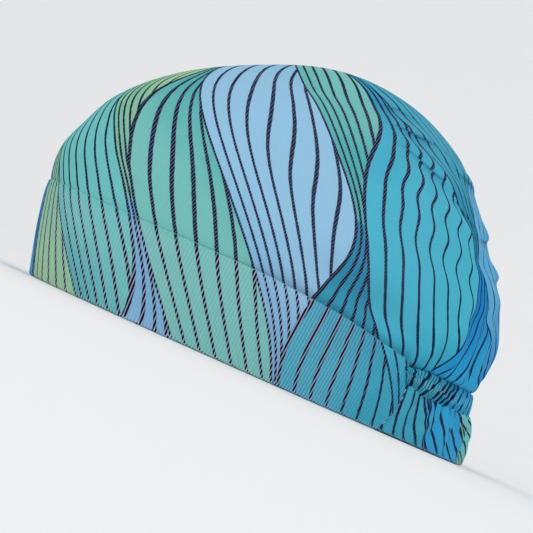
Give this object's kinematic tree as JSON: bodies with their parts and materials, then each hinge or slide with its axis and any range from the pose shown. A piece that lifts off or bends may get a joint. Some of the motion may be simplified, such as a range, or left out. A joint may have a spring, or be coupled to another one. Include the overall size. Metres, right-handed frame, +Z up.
{
  "type": "skull cap",
  "caption": "Light stretch skull cap for running or cycling, with a loose jersey crown, a doubled front band and a back gathered by a ruffled elastic casing.",
  "frame": {"origin": "on the floor under the middle of the cap, which rests on its rim", "axes": "+Z up through the crown, -Y to the front of the cap, +X to the wearer's left side"},
  "size_m": [0.1658, 0.1973, 0.1258],
  "materials": {
    "crown_jersey": "printed stretch jersey, matte",
    "band_twill": "printed stretch twill, matte",
    "back_jersey": "printed stretch jersey, matte",
    "casing_jersey": "printed stretch jersey gathered over elastic, matte"
  },
  "bodies": {
    "root": {"crown": "crown_jersey", "front_band": "band_twill", "back_band": "back_jersey", "elastic_casing": "casing_jersey"}
  },
  "joints": []
}
